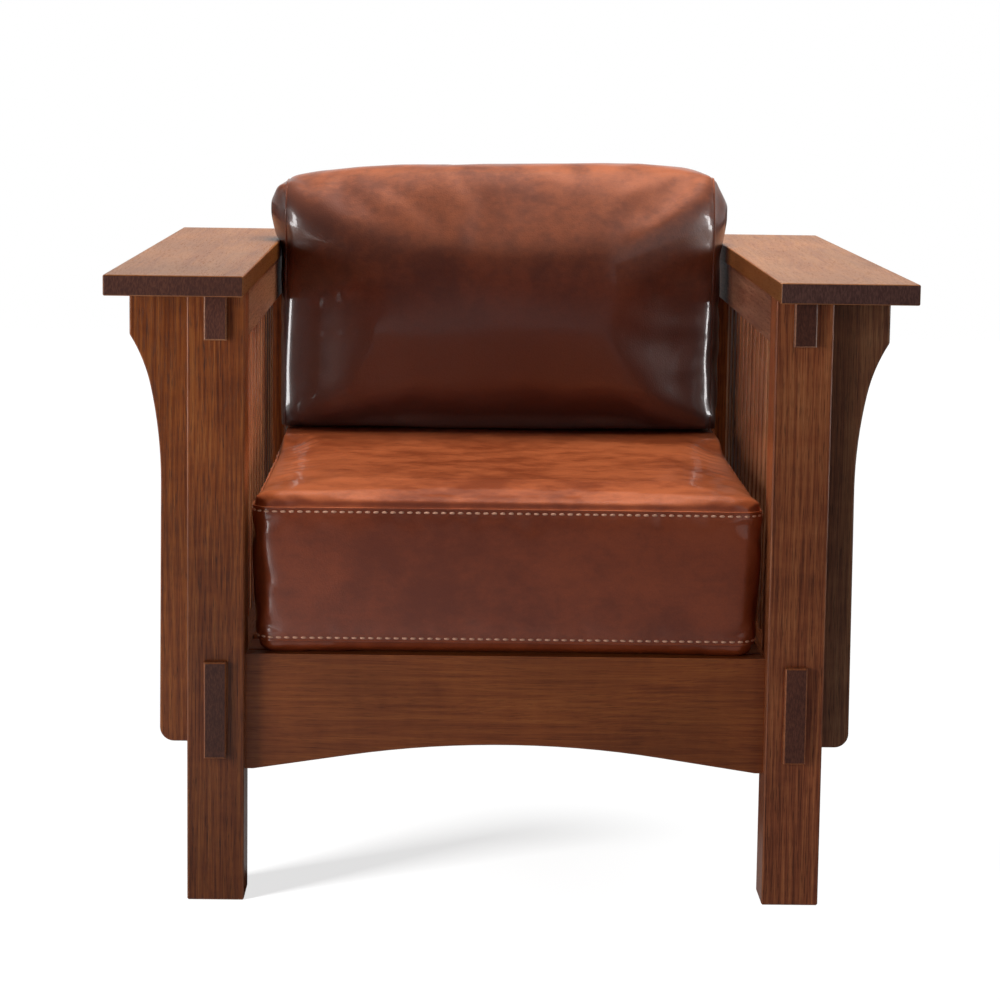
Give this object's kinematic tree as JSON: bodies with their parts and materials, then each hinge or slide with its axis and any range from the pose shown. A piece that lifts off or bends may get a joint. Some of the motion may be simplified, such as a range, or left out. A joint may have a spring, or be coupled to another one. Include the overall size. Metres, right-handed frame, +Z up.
{
  "type": "reclining armchair",
  "caption": "Low oak armchair with wide flat arms, spindle sides, flared corbels, an arched front rail, loose leather box cushions and a back that reclines on clamped stays.",
  "frame": {"origin": "on the floor, midway between the arms' outer edges and midway along the arms", "axes": "+Z up, +Y to the rear along the arms, +X to the sitter's left"},
  "size_m": [0.888, 0.984, 0.813],
  "materials": {
    "stained_oak": "satin, reddish brown stain",
    "turned_oak": "satin, turned",
    "seat_leather": "glossy saddle brown",
    "back_leather": "glossy saddle brown",
    "aged_brass": "aged",
    "steel": "plain"
  },
  "bodies": {
    "chair_frame": {"arm_left": "stained_oak", "arm_right": "stained_oak", "front_post_left": "stained_oak", "front_post_right": "stained_oak", "rear_post_left": "stained_oak", "rear_post_right": "stained_oak", "side_top_rail_left": "stained_oak", "side_top_rail_right": "stained_oak", "side_bottom_rail_left": "stained_oak", "side_bottom_rail_right": "stained_oak", "side_spindles_left": "stained_oak", "side_spindles_right": "stained_oak", "front_corbel_left": "stained_oak", "front_corbel_right": "stained_oak", "rear_corbel_left": "stained_oak", "rear_corbel_right": "stained_oak", "seat_cleat_left": "stained_oak", "seat_cleat_right": "stained_oak", "cleat_screws_left": "steel", "cleat_screws_right": "steel", "pivot_block_left": "stained_oak", "pivot_block_right": "stained_oak", "block_screws_left": "steel", "block_screws_right": "steel", "pivot_pin_left": "steel", "pivot_pin_right": "steel", "pivot_washer_left": "aged_brass", "pivot_washer_right": "aged_brass", "stay_stud_left": "steel", "stay_stud_right": "steel", "knob_washer_left": "aged_brass", "knob_washer_right": "aged_brass", "front_rail": "stained_oak", "rear_rail": "stained_oak", "seat_slat_1": "stained_oak", "seat_slat_2": "stained_oak", "seat_slat_3": "stained_oak", "seat_slat_4": "stained_oak", "seat_slat_5": "stained_oak", "seat_slat_6": "stained_oak", "seat_slat_7": "stained_oak", "seat_cushion": "seat_leather"},
    "back": {"pivot_bush_left": "aged_brass", "pivot_bush_right": "aged_brass", "back_stile_left": "stained_oak", "back_stile_right": "stained_oak", "recline_stay_left": "aged_brass", "recline_stay_right": "aged_brass", "stay_screws_left": "steel", "stay_screws_right": "steel", "back_bottom_rail": "stained_oak", "back_top_rail": "stained_oak", "back_slats": "stained_oak", "back_cushion": "back_leather"},
    "knob_left": {"clamp_knob_left": "turned_oak"},
    "knob_right": {"clamp_knob_right": "turned_oak"}
  },
  "joints": [
    {"name": "back_recline", "type": "hinge", "parent": "chair_frame", "child": "back", "pos_m": [0, 0.252, 0.25], "axis": [-1, 0, 0], "range_deg": [0, 20]},
    {"name": "knob_turn_left", "type": "hinge", "parent": "chair_frame", "child": "knob_left", "pos_m": [0.2553, 0.40245, 0.44966], "axis": [-1, 0, 0], "range_deg": [0, 360]},
    {"name": "knob_turn_right", "type": "hinge", "parent": "chair_frame", "child": "knob_right", "pos_m": [-0.2553, 0.40245, 0.44966], "axis": [1, 0, 0], "range_deg": [0, 360]}
  ]
}
